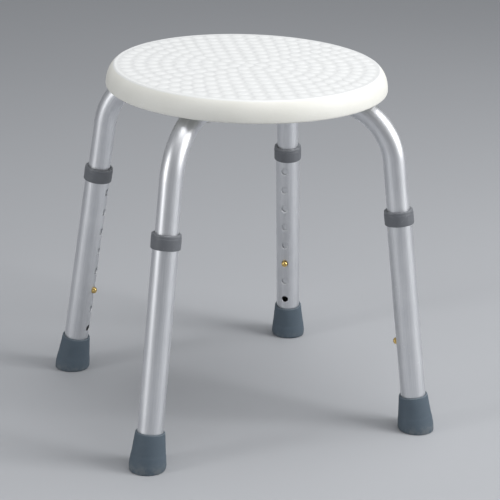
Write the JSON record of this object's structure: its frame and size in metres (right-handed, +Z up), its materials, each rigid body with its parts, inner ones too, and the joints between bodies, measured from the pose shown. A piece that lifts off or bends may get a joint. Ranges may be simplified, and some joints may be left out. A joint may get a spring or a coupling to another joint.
{
  "type": "shower stool",
  "caption": "Round white plastic seat on splayed, height-adjustable aluminium legs with grey collars, brass snap buttons and rubber tips.",
  "frame": {"origin": "on the floor, at the centre of the footprint's box, under the seat's centre", "axes": "+Z up; the legs stand near -Y (front), +X (right), +Y (rear) and -X (left)"},
  "size_m": [0.4787, 0.4771, 0.4064],
  "materials": {
    "seat_plastic": "moulded warm white, satin",
    "aluminium_tube": "satin anodised silver",
    "grey_plastic": "moulded mid grey, satin",
    "tip_rubber": "blue-grey rubber, matt",
    "brass_part": "turned brass",
    "zinc_steel": "zinc plated",
    "spring_steel": "spring steel"
  },
  "bodies": {
    "seat_frame": {"seat": "seat_plastic", "front_upper_tube": "aluminium_tube", "front_tube_plug": "grey_plastic", "front_inner_screw": "zinc_steel", "front_outer_screw": "zinc_steel", "front_inner_insert": "brass_part", "front_outer_insert": "brass_part", "front_button_spring": "spring_steel", "right_upper_tube": "aluminium_tube", "right_tube_plug": "grey_plastic", "right_inner_screw": "zinc_steel", "right_outer_screw": "zinc_steel", "right_inner_insert": "brass_part", "right_outer_insert": "brass_part", "right_button_spring": "spring_steel", "rear_upper_tube": "aluminium_tube", "rear_tube_plug": "grey_plastic", "rear_inner_screw": "zinc_steel", "rear_outer_screw": "zinc_steel", "rear_inner_insert": "brass_part", "rear_outer_insert": "brass_part", "rear_button_spring": "spring_steel", "left_upper_tube": "aluminium_tube", "left_tube_plug": "grey_plastic", "left_inner_screw": "zinc_steel", "left_outer_screw": "zinc_steel", "left_inner_insert": "brass_part", "left_outer_insert": "brass_part", "left_button_spring": "spring_steel"},
    "front_lower_leg": {"front_lower_tube": "aluminium_tube", "front_collar": "grey_plastic", "front_rubber_tip": "tip_rubber", "front_tip_washer": "zinc_steel"},
    "front_button": {"front_snap_button": "brass_part"},
    "right_lower_leg": {"right_lower_tube": "aluminium_tube", "right_collar": "grey_plastic", "right_rubber_tip": "tip_rubber", "right_tip_washer": "zinc_steel"},
    "right_button": {"right_snap_button": "brass_part"},
    "rear_lower_leg": {"rear_lower_tube": "aluminium_tube", "rear_collar": "grey_plastic", "rear_rubber_tip": "tip_rubber", "rear_tip_washer": "zinc_steel"},
    "rear_button": {"rear_snap_button": "brass_part"},
    "left_lower_leg": {"left_lower_tube": "aluminium_tube", "left_collar": "grey_plastic", "left_rubber_tip": "tip_rubber", "left_tip_washer": "zinc_steel"},
    "left_button": {"left_snap_button": "brass_part"}
  },
  "joints": [
    {"name": "front_leg_slide", "type": "slide", "parent": "seat_frame", "child": "front_lower_leg", "axis": [-0.0123, -0.1352, -0.9907], "range_m": [-0.0508, 0.127], "deforming": ["front_snap_button"]},
    {"name": "front_button_press", "type": "slide", "parent": "seat_frame", "child": "front_button", "axis": [-0.0898, -0.9867, 0.1357], "range_m": [0, 0.0056], "stiffness_N_per_m": 2500, "deforming": ["front_button_spring"]},
    {"name": "right_leg_slide", "type": "slide", "parent": "seat_frame", "child": "right_lower_leg", "axis": [0.1357, 0.004, -0.9907], "range_m": [-0.0508, 0.127], "deforming": ["right_snap_button"]},
    {"name": "right_button_press", "type": "slide", "parent": "seat_frame", "child": "right_button", "axis": [0.9903, 0.0294, 0.1357], "range_m": [0, 0.0056], "stiffness_N_per_m": 2500, "deforming": ["right_button_spring"]},
    {"name": "rear_leg_slide", "type": "slide", "parent": "seat_frame", "child": "rear_lower_leg", "axis": [-0.0099, 0.1354, -0.9907], "range_m": [-0.0508, 0.127], "deforming": ["rear_snap_button"]},
    {"name": "rear_button_press", "type": "slide", "parent": "seat_frame", "child": "rear_button", "axis": [-0.0726, 0.9881, 0.1357], "range_m": [0, 0.0056], "stiffness_N_per_m": 2500, "deforming": ["rear_button_spring"]},
    {"name": "left_leg_slide", "type": "slide", "parent": "seat_frame", "child": "left_lower_leg", "axis": [-0.1357, 0.0017, -0.9907], "range_m": [-0.0508, 0.127], "deforming": ["left_snap_button"]},
    {"name": "left_button_press", "type": "slide", "parent": "seat_frame", "child": "left_button", "axis": [-0.9907, 0.0121, 0.1357], "range_m": [0, 0.0056], "stiffness_N_per_m": 2500, "deforming": ["left_button_spring"]}
  ]
}
